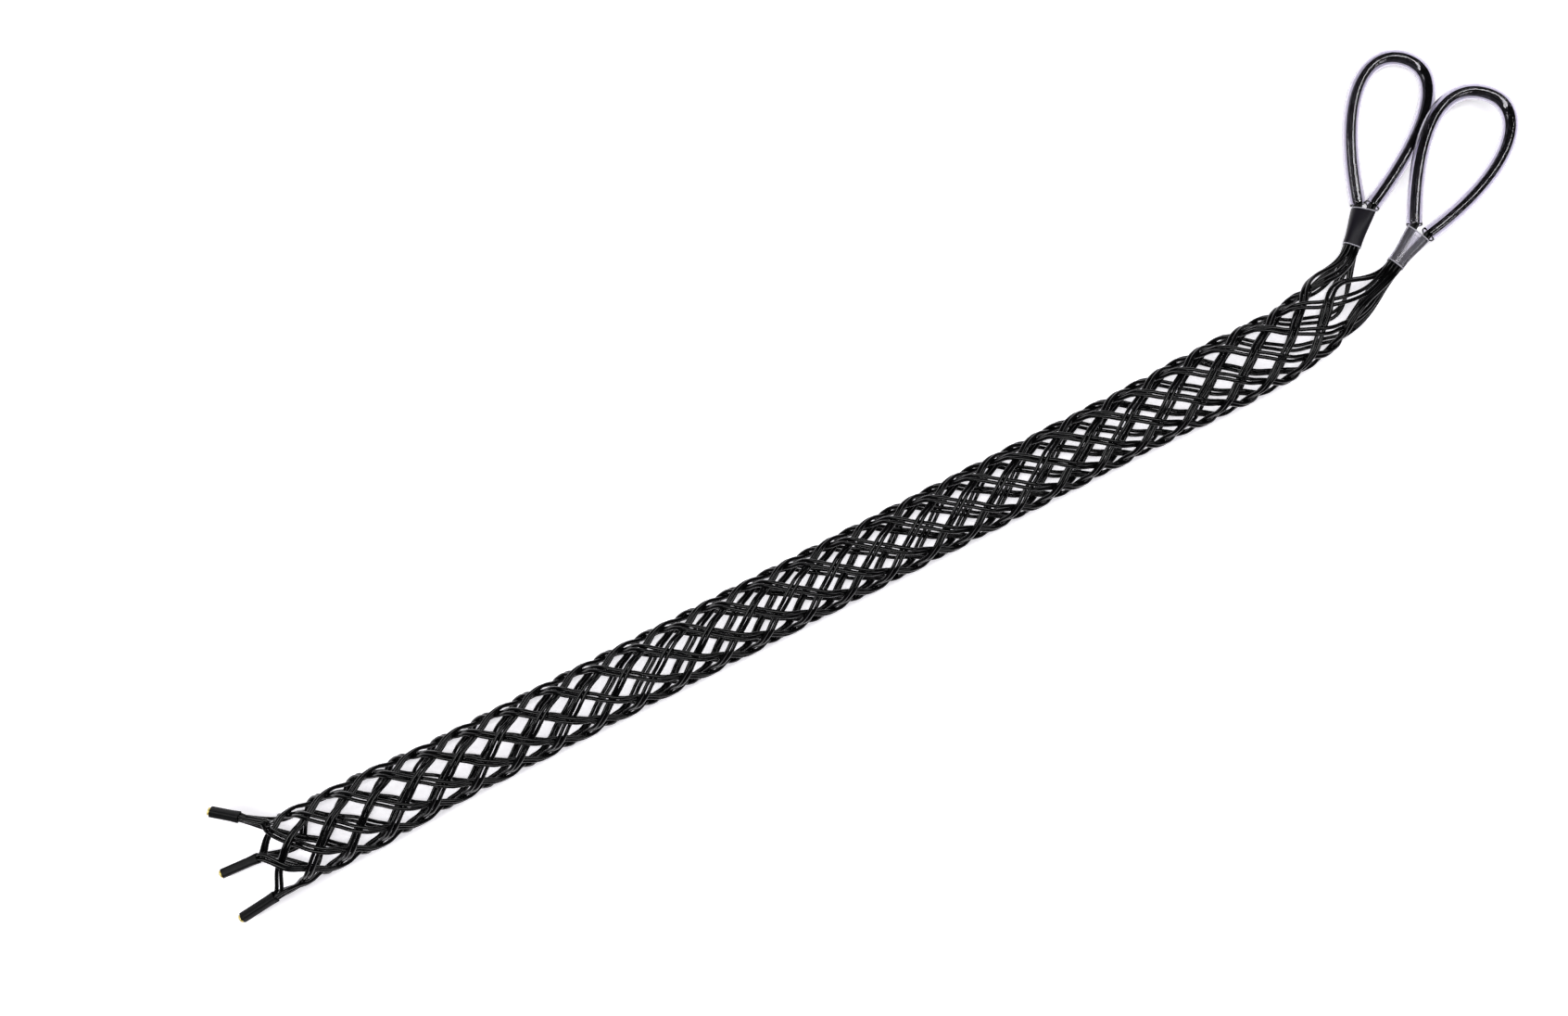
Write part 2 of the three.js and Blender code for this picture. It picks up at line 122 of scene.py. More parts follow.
def tube_frame(length):
    """Middle, forward and right-hand direction of the tube: straight, then an arc towards +Y."""
    length = np.asarray(length, float)
    bend_start = MESH_END - BEND_BEFORE_END
    angle = np.maximum(0, length - bend_start) / BEND_RADIUS
    zero = np.zeros_like(angle)
    forward = np.stack([np.cos(angle), np.sin(angle), zero], -1)
    right = np.stack([np.sin(angle), -np.cos(angle), zero], -1)
    x = np.minimum(length, bend_start) + BEND_RADIUS * np.sin(angle)
    y = BEND_RADIUS * (1 - np.cos(angle))
    z = mesh_radius((length - MESH_START) / RING_PITCH) + AXIS_RISE
    return np.stack([x, y, z], -1), forward, right, angle


def outward(right, angle):
    """Direction out of the tube at an angle from straight up towards the right."""
    return np.cos(angle)[..., None] * UP + np.sin(angle)[..., None] * right


print("mesh from", MESH_START, "to", MESH_END, "mm")

# %% [markdown]
# ## The path of one leg in the braid
#
# A leg is a helix whose radius swings in and out once every two rings. A plain cosine would let round
# strands cut into each other, because a ribbon is two strands wide, so the wave is flattened on its
# tops. A hand-laid braid is never perfectly even, and a few slow sine waves shift each ribbon slightly.

# %% A leg from the first ring to the last
STEPS_PER_RING = 8
# How far a ribbon wanders along the tube, and its two strands apart, between the ends of the mesh
WANDER, GAPE = 0.5, 0.12


def weave_wave(ring):
    """Cosine of half a turn a ring, c, flattened on its tops as c(3 - c^2)/2."""
    c = np.cos(np.pi * ring)
    return c * (3 - c * c) / 2


def leg_in_mesh(ribbon, hand, side, ring):
    """Points of a leg at ring numbers: round the tube by half a ribbon spacing a ring, along by the
    ring pitch, and out and in by the weave wave."""
    radius = mesh_radius(ring)
    lead = np.arctan2(radius * TURN, RING_PITCH)
    opening = NECK_OPENING * smooth(1 - (RINGS - ring) / OPENING_RINGS)
    offset = side * (RIBBON_PITCH + opening) / 2
    ease = np.exp(1 - ring)
    held = smooth((ring - 1) / 3) * smooth((RINGS - ring) / 3)
    wander = WANDER * np.sin(0.9 * ring + 2.1 * ribbon + hand) * held
    offset = offset + GAPE * side * (1 + np.sin(0.61 * ring + 1.7 * ribbon - 2 * hand)) * held
    shift = MOUTH_SLACK * ease - hand * offset / (2 * np.sin(lead)) + wander
    middle, _, right, _ = tube_frame(MESH_START + RING_PITCH * ring + shift)
    turned = (2 * ribbon + hand * ring) * TURN - MOUTH_TWIST * ease
    angle = FIRST_CROSSING_ANGLE + turned + offset / (2 * radius * np.cos(lead))
    height = radius - hand * WEAVE_HEIGHT * weave_wave(ring)
    return middle + outward(right, angle) * height[..., None], angle


rings = np.linspace(1, RINGS, (RINGS - 1) * STEPS_PER_RING + 1)
sample, _ = leg_in_mesh(0, 1, 1, rings)
print("one leg in the mesh:", round(float(np.linalg.norm(np.diff(sample, axis=0), axis=1).sum())), "mm")


# %% [markdown]
# ## Curves that join the parts of a strand
#
# Between the braid and a sleeve a strand is free, so it follows the smooth curve that a springy wire
# takes between two directions. A cubic Bezier curve is close to that, and its two handles say how far
# the wire holds the direction of each end before it gives way.

# %% Bezier curves
def bezier(a, b, c, d, t):
    """Cubic curve from a to d with handles b and c, at parameters t."""
    t = np.asarray(t)[..., None]
    return (1 - t) ** 3 * a + 3 * (1 - t) ** 2 * t * b + 3 * (1 - t) * t * t * c + t**3 * d


FAN_HOLD = (0.4, 0.41)
FORK_HOLD = (0.2, 0.4)


def join(start, leaving, end, arriving, hold, count):
    """Points strictly between two ends of a curve that leaves and arrives in given directions, with
    handles as long as the two shares of the distance in hold."""
    reach = np.linalg.norm(end - start) * np.array(hold)
    t = np.linspace(0, 1, count + 2)[1:-1]
    return bezier(start, start + leaving * reach[0], end - arriving * reach[1], end, t)


# %% [markdown]
# ## Tails
#
# At the mouth the four strands that meet in a tail lie as two ribbons, one on the other. They are
# stripped to bare wire and crimped in a brass ferrule, and a black shrink sleeve covers the joint.
# The table gives where each sleeve ends and where the ferrule's tip is: along the tube, out from the
# mesh and round it in degrees.

# %% Where the tails are
FERRULE_LENGTH, FERRULE_RECESS, STRIP_LENGTH = 14.0, 0.3, 1.5
TAILS = [
    ("tail_top", (9, 1.5, -11.9), (-12.9, 2.8, -14.5)),
    ("tail_right", (5.2, 4.4, 51.1), (-17.3, 6.8, 52.7)),
    ("tail_low_right", (-8, 2.7, 120.3), (-32.4, 5.5, 120.1)),
    ("tail_bottom", (-10.1, -1.9, 194.5), (-33.7, -1.1, 198.1)),
    ("tail_low_left", (-5.6, 11.7, 251.6), (-18.2, 21.9, 260.1)),
    ("tail_left", (6.6, 12.8, 296), (-6.5, 23.3, 291.6)),
]


def mouth_point(along, out, degrees):
    """A point by the mouth, and the direction out of the tube there."""
    middle, forward, right, _ = tube_frame(MESH_START)
    normal = outward(right, np.radians(degrees))
    return middle + normal * (mesh_radius(0) + out) + forward * along, normal


def tail_frame(tail):
    """Tip, axis inwards, normal, sideways direction and length of a tail."""
    _, inner, tip = tail
    inner_point, normal = mouth_point(*inner)
    tip_point, _ = mouth_point(*tip)
    length = np.linalg.norm(inner_point - tip_point)
    axis = (inner_point - tip_point) / length
    normal = unit(normal - axis * (normal @ axis))
    return tip_point, axis, normal, np.cross(axis, normal), length


TAIL_PITCH = 2.25
COATING_IN_FERRULE = 0.4
# How much later the outer strand of a ribbon turns off, and how far past its sleeve a tail stays whole
OUTER_LAG = 1.6
HELD_TOGETHER = {"tail_left": 13.0}
SLIDE_LENGTH = 5.0


def tail_paths(ribbon, hand, side):
    """The coated part and the bare wire of a leg in its tail. Past the sleeve a ribbon slides sideways
    by half a strand, and its outer strand turns off later than its inner one, so it stays flat."""
    name = TAILS[ribbon][0]
    tip, axis, normal, across, length = tail_frame(TAILS[ribbon])

    def place(distance, pitch, slide=0.0):
        distance, pitch, slide = (np.asarray(v, float)[..., None] for v in (distance, pitch, slide))
        sideways = across * (side * pitch / 2 + hand * slide)
        return tip + axis * distance + sideways + normal * hand * pitch / 2

    held = HELD_TOGETHER.get(name, 0.0)
    end = length + held + (OUTER_LAG if hand * side < 0 else 0.0)
    coated = np.linspace(FERRULE_LENGTH - COATING_IN_FERRULE, end, 12 + int(held))
    spread = WIRE_PITCH + (TAIL_PITCH - WIRE_PITCH) * smooth((coated - coated[0]) / STRIP_LENGTH)
    slide = STRAND_RADIUS * smooth((coated - length) / SLIDE_LENGTH) * bool(held)
    bare = np.linspace(FERRULE_RECESS, FERRULE_LENGTH, 5)
    return place(coated, spread, slide), place(bare, np.full(5, WIRE_PITCH), np.zeros(5)), axis


print("tails:", [t[0] for t in TAILS])

# %% [markdown]
# ## Eyes
#
# Each eye is a clear tube bent into a teardrop over the six strands of its bundle. The near eye takes
# the legs from the top of the mesh and lies partly on the far one, which takes those from below.

# %% Where the eyes are
EYE_LENGTH, EYE_APEX_HANDLE, EYE_ARM_HANDLES = 89.0, 19.5, (77.0, 67.0)
EYE_BORE, EYE_TUBE_WALL = 3.95, 0.7
ARM_SPACING, ARM_GAP = 9.3, 3.0
SLEEVE_LENGTH = 21.5
GROUP_START = np.radians(-40.6)
LOOPS, BUNDLE = 6, 12
EYES = [
    dict(
        name="near", group=0, fan=42, out=17.7, height=19, rest=9.2, shift=6.8, heading=-11.3,
        lean=12.3, arms=(23.6, -28.9), roll=0,
    ),
    dict(
        name="far", group=1, fan=43.5, out=-7.8, height=9, rest=0, shift=-6.6, heading=6.8,
        lean=-2.9, arms=(31.6, -15.6), roll=45,
    ),
]


def heading(angle):
    """Forward and right-hand unit vectors of a heading in the floor's plane."""
    return (
        np.array([np.cos(angle), np.sin(angle), 0.0]),
        np.array([np.sin(angle), -np.cos(angle), 0.0]),
    )


def eye_frame(eye):
    """Angle, forward, right, parting direction, bottom and top of an eye's neck sleeve. The arms part to
    the right, and where the eye is rolled, one of them rises over the other."""
    middle, _, right, angle = tube_frame(MESH_END + eye["fan"])
    angle = float(angle) + np.radians(eye["heading"])
    forward, across = heading(angle)
    bottom = middle + right * eye["out"]
    bottom[2] = eye["height"]
    parting = across * np.cos(np.radians(eye["roll"])) + UP * np.sin(np.radians(eye["roll"]))
    return angle, forward, across, parting, bottom, bottom + forward * SLEEVE_LENGTH


def eye_line(eye, count):
    """Middle of an eye tube, evenly spaced: two Bezier curves that meet at the apex."""
    angle, forward, _, parting, _, top = eye_frame(eye)
    lean = angle + np.radians(eye["lean"])
    along, across = heading(lean)
    fork = top + forward * ARM_GAP
    apex = fork + along * EYE_LENGTH + across * eye["shift"]
    apex[2] = EYE_BORE + EYE_TUBE_WALL + eye["rest"]
    t = np.linspace(0, 1, 200)
    halves = []
    for side, degrees, reach in zip((-1, 1), eye["arms"], EYE_ARM_HANDLES):
        arm = fork + parting * side * ARM_SPACING / 2
        handle = arm + heading(lean + np.radians(degrees))[0] * reach
        handle[2] = (arm[2] + apex[2]) / 2
        halves.append(bezier(arm, handle, apex + across * side * EYE_APEX_HANDLE, apex, t))
    line = np.concatenate([halves[0], halves[1][-2::-1]])
    return resample(line, count)


def resample(line, count):
    """The same line as count points spaced evenly along it."""
    run = np.concatenate([[0], np.cumsum(np.linalg.norm(np.diff(line, axis=0), axis=1))])
    even = np.linspace(0, run[-1], count)
    return np.stack([np.interp(even, run, line[:, k]) for k in range(3)], -1)


for eye in EYES:
    steps = np.linalg.norm(np.diff(eye_line(eye, 100), axis=0), axis=1)
    print(eye["name"], "eye, tube length", round(float(steps.sum())), "mm")

# %% [markdown]
# ## Which leg goes to which eye
#
# The legs are sorted by where they leave the last ring. Half a ring of twelve closes into a whole ring
# of its own in the neck sleeve, which parts into two half rings that close again in the arms.

# %% Sort the legs
legs = [
    dict(ribbon=r, hand=h, side=s) for r in range(RIBBONS) for h in (1, -1) for s in (-1, 1)
]


def closed_angle(middle, index, count):
    """Angle of place index of count on a whole ring, from its middle outwards."""
    return middle + 2 * np.pi * (index - (count - 1) / 2) / count


groups = [[], []]
for leg in legs:
    _, angle = leg_in_mesh(leg["ribbon"], leg["hand"], leg["side"], np.array([float(RINGS)]))
    leg["position"] = (angle[0] + leg["hand"] * TURN / 2 - GROUP_START) % (2 * np.pi)
    groups[0 if leg["position"] < np.pi else 1].append(leg)
for eye in EYES:
    group = groups[eye["group"]]
    group.sort(key=lambda leg: leg["position"])
    for slot, leg in enumerate(group):
        turned = closed_angle(GROUP_START + (eye["group"] + 0.5) * np.pi, slot, BUNDLE)
        leg["turned"] = (turned - np.pi) % (2 * np.pi)
        leg["half"] = 0 if leg["turned"] < np.pi else 1
    for half in (0, 1):
        side = sorted((leg for leg in group if leg["half"] == half), key=lambda leg: leg["turned"])
        for place, leg in enumerate(side):
            leg["place"] = place
print("legs to each eye:", [len(g) for g in groups])


# %% [markdown]
# ## Inside the neck sleeve and the eye tube
#
# The shrink sleeve presses its twelve legs into three layers of four. Towards the fork they part into
# two blocks of six, two wide and three deep, and a block keeps its order all the way round the eye.

# %% Paths in the neck and the eyes
SPLIT_START = 3.0
LOOP_STEPS = 90
LAYER_PITCH = 2.25
# Column, out from the middle of the eye, and layer, upwards, of each place in a block of six
COLUMNS, LAYERS = (-1, 1, 1, -1, 1, -1), (-1, -1, 0, 0, 1, 1)


def neck_place(eye, leg, distance):
    """Places of a leg at distances up the sleeve, as the middle of its block moves from one strand
    beside the middle of the sleeve to the middle of its arm."""
    _, forward, right, parting, bottom, _ = eye_frame(eye)
    half = -1 if leg["half"] == 0 else 1
    place = leg["place"] if half < 0 else LOOPS - 1 - leg["place"]
    split = parted(distance)[:, None]
    block = half * ((1 - split) * right * LAYER_PITCH + split * parting * ARM_SPACING / 2)
    own = right * half * COLUMNS[place] * LAYER_PITCH / 2 + UP * LAYERS[place] * LAYER_PITCH
    return bottom + forward * distance[:, None] + block + own


def parted(distance):
    """Share of the parting that is done at distances up the sleeve."""
    return smooth((distance - SPLIT_START) / (SLEEVE_LENGTH + ARM_GAP - SPLIT_START))


def tube_sides(line):
    """Tangent, outward and rising directions along a line that lies nearly flat."""
    tangent = unit(np.gradient(line, axis=0))
    outwards = unit(np.cross(UP, tangent))
    return tangent, outwards, np.cross(tangent, outwards)


def loop_path(eye, place):
    """One strand in the eye tube, beside its middle line by its column and layer."""
    line = eye_line(eye, LOOP_STEPS)
    _, outwards, rise = tube_sides(line)
    return line + outwards * COLUMNS[place] * LAYER_PITCH / 2 + rise * LAYERS[place] * LAYER_PITCH


def leg_path(leg, eye):
    """Coated path of a leg from its tail to just under the fork, and its bare wire."""
    tail, bare, axis = tail_paths(leg["ribbon"], leg["hand"], leg["side"])
    mesh, _ = leg_in_mesh(leg["ribbon"], leg["hand"], leg["side"], rings)
    first = unit(mesh[1] - mesh[0])
    last = unit(mesh[-1] - mesh[-2])
    neck = neck_place(eye, leg, np.linspace(0, SLEEVE_LENGTH + ARM_GAP - 1.5, 12))
    mouth = join(tail[-1], axis, mesh[0], first, FORK_HOLD, 12)
    fan = join(mesh[-1], last, neck[0], eye_frame(eye)[1], FAN_HOLD, 20)
    return np.concatenate([tail, mouth, mesh, fan, neck]), bare


print("path points in one leg:", len(leg_path(groups[0][0], EYES[0])[0]))

# %% [markdown]
# ## Sweeping a round section along a path
#
# The strands never stand upright, so the direction sideways and level to the path is a steady one to
# hang the section on, and no twist builds up along it. The UV map runs along the strand in metres and
# once round it, for the lay of the wire that shows through the coating.

# %% Sweeps
def sweep(path, radius, sides, start=0.0):
    """Grid of points: at each path point a circle in the plane across the path. Returns points, faces
    and UVs, with both ends closed by one face."""
    tangent = unit(np.gradient(path, axis=0))
    level = unit(np.cross(tangent, UP))
    rising = np.cross(level, tangent)
    turn = 2 * np.pi * np.arange(sides) / sides
    radius = np.broadcast_to(np.asarray(radius, float), (len(path),))
    ring = level[:, None] * np.cos(turn)[:, None] + rising[:, None] * np.sin(turn)[:, None]
    points = path[:, None] + ring * radius[:, None, None]
    return grid_mesh(points, path, start)


def grid_mesh(points, path, start=0.0, close=True):
    """Faces and UVs of a grid that is closed round: rows along the path, columns round it."""
    rows, sides, _ = points.shape
    i = np.arange(rows - 1)[:, None] * sides
    k = np.arange(sides)[None, :]
    n = (k + 1) % sides
    faces = np.stack([i + k, i + sides + k, i + sides + n, i + n], -1).reshape(-1, 4)
    run = start + np.concatenate([[0], np.cumsum(np.linalg.norm(np.diff(path, axis=0), axis=1))]) * MM
    u = run[np.arange(rows - 1)[:, None] + np.array([0, 1, 1, 0])][:, None, :].repeat(sides, 1)
    v = (k[0][:, None] + np.array([0, 0, 1, 1]))[None].repeat(rows - 1, 0) / sides
    uv = np.stack([u, v], -1).reshape(-1, 4, 2)
    caps = [np.arange(sides), (rows - 1) * sides + np.arange(sides)[::-1]] if close else []
    return points.reshape(-1, 3), faces, uv, caps


def add_mesh(name, parts, materials, slots=None):
    """One object from several (points, faces, uv, caps) parts, each with its own material slot."""
    verts, loops, totals, uvs, slot_of = [], [], [], [], []
    base = 0
    for index, (points, faces, uv, caps) in enumerate(parts):
        verts.append(points)
        loops.append((faces + base).ravel())
        totals.append(np.full(len(faces), faces.shape[1]))
        uvs.append(uv.reshape(-1, 2))
        slot_of.append(np.full(len(faces) + len(caps), slots[index] if slots else 0))
        for cap in caps:
            loops.append(cap + base)
            totals.append(np.array([len(cap)]))
            uvs.append(np.zeros((len(cap), 2)))
        base += len(points)
    verts = (np.concatenate(verts) + SHIFT) * MM
    loops, totals = np.concatenate(loops), np.concatenate(totals)
    mesh = bpy.data.meshes.new(name)
    mesh.vertices.add(len(verts))
    mesh.vertices.foreach_set("co", verts.ravel())
    mesh.loops.add(len(loops))
    mesh.loops.foreach_set("vertex_index", loops)
    mesh.polygons.add(len(totals))
    mesh.polygons.foreach_set("loop_start", np.concatenate([[0], np.cumsum(totals)[:-1]]))
    mesh.polygons.foreach_set("loop_total", totals)
    mesh.polygons.foreach_set("material_index", np.concatenate(slot_of))
    mesh.polygons.foreach_set("use_smooth", totals == 4)
    mesh.uv_layers.new(name="along").data.foreach_set("uv", np.concatenate(uvs).ravel())
    mesh.update(calc_edges=True)
    mesh.validate()
    for material in materials:
        mesh.materials.append(material)
    piece = bpy.data.objects.new(name, mesh)
    bpy.context.scene.collection.objects.link(piece)
    return piece


# %% [markdown]
# ## Materials
#
# One function turns sRGB hex into linear colour, and one adds a node with its settings and links.

# %% Material helpers
def linear(code):
    """Linear RGBA from an sRGB hex code."""
    c = np.array([int(code[i : i + 2], 16) for i in (1, 3, 5)]) / 255
    return (*np.where(c <= 0.04045, c / 12.92, ((c + 0.055) / 1.055) ** 2.4), 1.0)


def node(tree, kind, links=None, **values):
    """A node of a kind, with socket values by name and links as {socket: other socket}."""
    new = tree.nodes.new(kind)
    for name, value in values.items():
        if hasattr(new, name):
            setattr(new, name, value)
        else:
            new.inputs[name.replace("_", " ")].default_value = value
    for name, source in (links or {}).items():
        tree.links.new(source, new.inputs[name])
    return new


def material(name):
    """A new material with its node tree and its Principled shader."""
    new = bpy.data.materials.new(name)
    new.use_nodes = True
    return new, new.node_tree, new.node_tree.nodes["Principled BSDF"]


# %% [markdown]
# ### Plastic coating on wire rope
#
# The strands are small wire ropes drawn through a die with molten PVC, so the coating is glossy and
# nearly black, and the lay of the wires shows through it as faint slanting ridges a few millimetres
# apart. The real ridges are about 0.05 mm high.

# %% Black PVC coating
LAY_LENGTH = 0.009
STRAND_WIRES = 6
coating, tree, shader = material("black_pvc_coating")
shader.inputs["Base Color"].default_value = linear("#060607")
shader.inputs["Roughness"].default_value = 0.1
shader.inputs["IOR"].default_value = 1.45
shader.inputs["Specular IOR Level"].default_value = 0.34
uv = node(tree, "ShaderNodeUVMap", uv_map="along")
split = node(tree, "ShaderNodeSeparateXYZ", {"Vector": uv.outputs["UV"]})
lay = node(tree, "ShaderNodeMath", {0: split.outputs["X"]}, operation="MULTIPLY")
lay.inputs[1].default_value = STRAND_WIRES / LAY_LENGTH
sockets = {0: split.outputs["Y"], 2: lay.outputs[0]}
around = node(tree, "ShaderNodeMath", sockets, operation="MULTIPLY_ADD")
around.inputs[1].default_value = STRAND_WIRES
phase = node(tree, "ShaderNodeMath", {0: around.outputs[0]}, operation="MULTIPLY")
phase.inputs[1].default_value = 2 * np.pi
ridge = node(tree, "ShaderNodeMath", {0: phase.outputs[0]}, operation="SINE")
bump = node(tree, "ShaderNodeBump", {"Height": ridge.outputs[0]}, Strength=0.03, Distance=0.00005)
tree.links.new(bump.outputs["Normal"], shader.inputs["Normal"])

wire, tree, shader = material("bare_wire_ends")
shader.inputs["Base Color"].default_value = linear("#e8a63c")
shader.inputs["Metallic"].default_value = 1.0
shader.inputs["Roughness"].default_value = 0.4
print("materials:", coating.name, wire.name)

# %% [markdown]
# ## Strands
#
# Twelve strands, each one piece from tail to tail over its eye. A strand that goes up in the left half
# of a bundle comes back in the right half, at the mirrored place.

# %% The twelve strands
STRAND_SIDES = 14
strands = []
for eye in EYES:
    group = groups[eye["group"]]
    for place in range(LOOPS):
        going = next(g for g in group if g["half"] == 0 and g["place"] == place)
        coming = next(g for g in group if g["half"] == 1 and g["place"] == LOOPS - 1 - place)
        first, first_wire = leg_path(going, eye)
        second, second_wire = leg_path(coming, eye)
        path = np.concatenate([first, loop_path(eye, place), second[::-1]])
        name = f"strand_{eye['name']}_{place + 1}"
        parts = [sweep(path, STRAND_RADIUS, STRAND_SIDES)]
        parts += [sweep(w, WIRE_RADIUS, 10) for w in (first_wire, second_wire)]
        piece = add_mesh(name, parts, [coating, wire], [0, 1, 1])
        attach(piece, "root")
        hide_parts(f"{name}_left", f"{name}_loop", f"{name}_right")
        strands.append(piece)
print("strands:", len(strands), "faces in one:", len(strands[0].data.polygons))

# %% [markdown]
# ## Clear tubing and shrink sleeves
#
# The eye tubes are soft clear PVC hose. The sleeve of the near eye is clear heat-shrink and that of the
# far eye is the same in a smoked grey. The sleeves of the tails are opaque black heat-shrink, which
# shrinks to a satin surface with a fine grain. Clear plastic shows by what it bends and reflects, so
# it gets transmission. The IOR is under the real 1.5, because a lens of that strength would spread the
# strands over the whole width of the tube, and they are seen well inside it.

# %% Tube and sleeve materials
def noise(tree, scale, detail):
    """Noise in object coordinates, with a number of cells a metre."""
    place = node(tree, "ShaderNodeTexCoord")
    links = {"Vector": place.outputs["Object"]}
    return node(tree, "ShaderNodeTexNoise", links, Scale=scale, Detail=detail).outputs["Fac"]


def roughen(tree, shader, height, strength, distance):
    """Bump from a height, up to a distance in metres."""
    bump = node(tree, "ShaderNodeBump", {"Height": height}, Strength=strength, Distance=distance)
    tree.links.new(bump.outputs["Normal"], shader.inputs["Normal"])


def tone(tree, shader, factor, dark, light):
    """Base colour between two hex codes."""
    ramp = node(tree, "ShaderNodeValToRGB", {"Fac": factor})
    ramp.color_ramp.elements[0].color = linear(dark)
    ramp.color_ramp.elements[1].color = linear(light)
    tree.links.new(ramp.outputs["Color"], shader.inputs["Base Color"])


def clear_plastic(name, colour, roughness, transmission, ior, waviness):
    """Clear or tinted plastic, with a faint unevenness a few millimetres long from the extruder."""
    new, tree, shader = material(name)
    shader.inputs["Base Color"].default_value = linear(colour)
    shader.inputs["Roughness"].default_value = roughness
    shader.inputs["IOR"].default_value = ior
    shader.inputs["Transmission Weight"].default_value = transmission
    roughen(tree, shader, noise(tree, 220.0, 2.0), waviness, 0.0001)
    return new


clear_hose = clear_plastic("clear_pvc_hose", "#dedbe6", 0.02, 1.0, 1.4, 0.02)
clear_shrink = clear_plastic("clear_heat_shrink", "#c9c6d2", 0.1, 0.86, 1.3, 0.03)
smoked_shrink = clear_plastic("smoked_heat_shrink", "#16141c", 0.42, 0.05, 1.25, 0.1)
# The curled rims are light grey with a random tone. This is a painted highlight of the cut ends catching
# the light, on the clear sleeve and the smoked sleeve alike.
rim_with_painted_highlight, tree, shader = material("curled_rim_with_painted_highlight")
shader.inputs["Roughness"].default_value = 0.3
tone(tree, shader, noise(tree, 600.0, 2.0), "#8f8d99", "#d5d3dd")

black_shrink, tree, shader = material("black_heat_shrink")
shader.inputs["Base Color"].default_value = linear("#0b0b0d")
shader.inputs["Roughness"].default_value = 0.5
shader.inputs["Specular IOR Level"].default_value = 0.2
roughen(tree, shader, noise(tree, 2500.0, 3.0), 0.3, 0.00008)

brass, tree, shader = material("crimped_brass_with_painted_highlight")
shader.inputs["Metallic"].default_value = 0.35
shader.inputs["Roughness"].default_value = 0.45
# The ramp is the brass's own yellow, lightened towards white as a painted highlight of the bright tips.
tone(tree, shader, noise(tree, 900.0, 4.0), "#fbd544", "#fff3ac")
print("clear, smoked, black and brass materials made")

# %% [markdown]
# ## Walls
#
# A tube or sleeve is a wall: its profile goes along the outside, round the end, back along the inside
# and round the other end, so the surface closes on itself and the plastic has a real thickness. The
# ends are rounded a little, because cut hose shows a bright rim.

# %% A wall round a line
RIM_BULGE = 0.3


def wall(path, outer, inner, sides):
    """Closed wall along a path: an outer and an inner skin, whose ends meet in a rim that bulges by a
    share of the wall. outer and inner are radii, one or one for each path point."""
    tangent = unit(np.gradient(path, axis=0))
    level = unit(np.cross(tangent, UP))
    rising = np.cross(level, tangent)
    outer, inner = (np.broadcast_to(r, len(path)).astype(float) for r in (outer, inner))
    middle, reach = (outer + inner) / 2, (outer - inner) * RIM_BULGE
    at = np.concatenate([[0], np.arange(len(path)), [-1], np.arange(len(path))[::-1], [0]])
    size = np.concatenate([middle[:1], outer, middle[-1:], inner[::-1], middle[:1]])
    line = path[at]
    line[[0, -1]] -= tangent[0] * reach[0]
    line[len(path) + 1] += tangent[-1] * reach[-1]
    turn = 2 * np.pi * np.arange(sides) / sides
    ring = level[at][:, None] * np.cos(turn)[:, None] + rising[at][:, None] * np.sin(turn)[:, None]
    points, faces, uv, _ = grid_mesh(line[:, None] + ring * size[:, None, None], line, close=False)
    last = (len(at) - 1) * sides
    faces = np.where(faces >= last, faces - last, faces)
    return points[:last], faces, uv, []


def dress(piece, slot, *nodes):
    """Let a piece ride and stand for solids. slot is not used."""
    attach(piece, "root")
    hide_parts(*nodes)


# %% Eye tubes
TUBE_SIDES = 40
for eye in EYES:
    line = eye_line(eye, 160)
    parts = [wall(line, EYE_BORE + EYE_TUBE_WALL, EYE_BORE, TUBE_SIDES)]
    tube = add_mesh(f"eye_hose_{eye['name']}", parts, [clear_hose])
    dress(tube, "eye_tube", f"eye_tube_{eye['name']}")
print("eye tubes made")

# %% [markdown]
# ## Neck sleeves
#
# The shrink sleeve takes the shape of what is in it: a rounded block of twelve strands at the bottom,
# and at the top two blocks side by side, or one above the other where the eye is rolled. It is a
# superellipse, which runs from an ellipse to a rectangle as its power grows. Each cut end curls into a
# thin rim, coloured light grey as a painted highlight.

# %% Neck sleeves
NECK_WALL = 0.45
NECK_ROOM = 0.3
CUT_RIM_RADIUS = 0.36
NECK_POWER, NECK_SIDES, NECK_ROWS = 3.4, 56, 40
# Where one block rises over the other: how much thicker the sleeve gets, and how much it leans
LIFT_THICKENING, LIFT_LEAN = 0.45, 0.6
BLOCK_HALF = (LAYER_PITCH / 2 + STRAND_RADIUS, LAYER_PITCH + STRAND_RADIUS)


def superellipse(turn, power):
    """Points (x, y) at angles turn with |x|^power + |y|^power = 1."""
    c, s = np.cos(turn), np.sin(turn)
    return np.stack([np.sign(c) * np.abs(c) ** (2 / power), np.sign(s) * np.abs(s) ** (2 / power)], -1)


def shell(path, sideways, rising, outline, wall_thickness):
    """Closed wall round a straight path: outline gives (x, y) rows in millimetres for each path point,
    and the outer skin is the same outline grown by the wall."""
    grown = outline * (1 + wall_thickness / np.linalg.norm(outline, axis=-1, keepdims=True))
    rows = np.concatenate([grown, outline[::-1]])
    at = np.concatenate([path, path[::-1]])
    points = at[:, None] + rows[..., :1] * sideways + rows[..., 1:] * rising
    points = np.concatenate([points, points[:1]])
    points, faces, uv, _ = grid_mesh(points, np.concatenate([at, at[:1]]), close=False)
    last = len(rows) * outline.shape[1]
    return points[:last], np.where(faces >= last, faces - last, faces), uv, []


